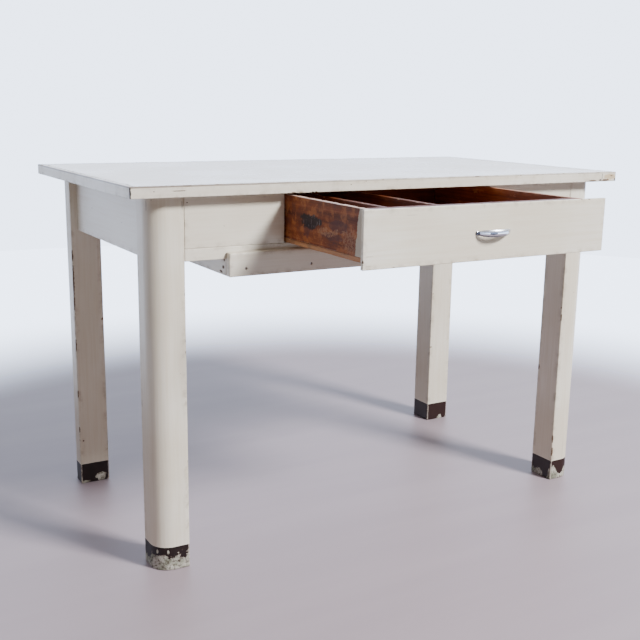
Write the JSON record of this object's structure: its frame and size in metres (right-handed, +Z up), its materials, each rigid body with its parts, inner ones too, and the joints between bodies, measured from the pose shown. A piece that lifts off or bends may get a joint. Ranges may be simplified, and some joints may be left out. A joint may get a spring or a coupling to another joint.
{
  "type": "manicure table",
  "caption": "Painted wooden work table on square legs with rounded outer corners, a wide off-centre drawer with partitions and a chrome bow handle, and a batten below.",
  "frame": {"origin": "on the floor, at the middle of the object's box with the drawer open as at rest", "axes": "+X to the right along the front, +Y to the back (the drawer opens towards -Y), +Z up"},
  "size_m": [1.2, 0.941, 0.77],
  "materials": {
    "painted_wood": "old cream paint, semi-gloss, brushed, worn to wood at the edges and painted dark at the feet",
    "painted_top": "old pale cream paint, semi-gloss, chipped along the edges",
    "bare_wood": "unpainted softwood, darkened with age",
    "stained_wood": "red-brown stained wood, worn and spotted",
    "handle_chrome": "polished",
    "fastener_steel": "dull"
  },
  "bodies": {
    "table": {"top_panel": "painted_top", "top_edging_front": "painted_top", "top_edging_back": "painted_top", "top_edging_left": "painted_top", "top_edging_right": "painted_top", "leg_front_left": "painted_wood", "leg_front_right": "painted_wood", "leg_back_left": "painted_wood", "leg_back_right": "painted_wood", "front_apron_left": "painted_wood", "front_apron_right": "painted_wood", "front_rail": "painted_wood", "side_apron_left": "painted_wood", "side_apron_right": "painted_wood", "back_apron": "painted_wood", "top_blocks": "bare_wood", "top_block_screws": "fastener_steel", "bearer_left": "painted_wood", "bearer_right": "painted_wood", "front_batten": "painted_wood", "front_cleat": "painted_wood", "batten_nails": "fastener_steel", "bearer_nails": "fastener_steel", "runner_left": "bare_wood", "runner_right": "bare_wood", "guide_left": "bare_wood", "guide_right": "bare_wood", "drawer_stops": "bare_wood"},
    "drawer": {"drawer_facing": "painted_wood", "drawer_inner_front": "stained_wood", "drawer_side_left": "stained_wood", "drawer_side_right": "stained_wood", "drawer_back": "stained_wood", "drawer_bottom": "bare_wood", "partition_left": "stained_wood", "partition_middle": "stained_wood", "drawer_corner_nails": "fastener_steel", "drawer_bottom_nails": "fastener_steel", "drawer_handle": "handle_chrome", "handle_screws": "fastener_steel"}
  },
  "joints": [
    {"name": "drawer_slide", "type": "slide", "parent": "table", "child": "drawer", "axis": [0, -1, 0], "range_m": [-0.2875, 0.13]}
  ]
}
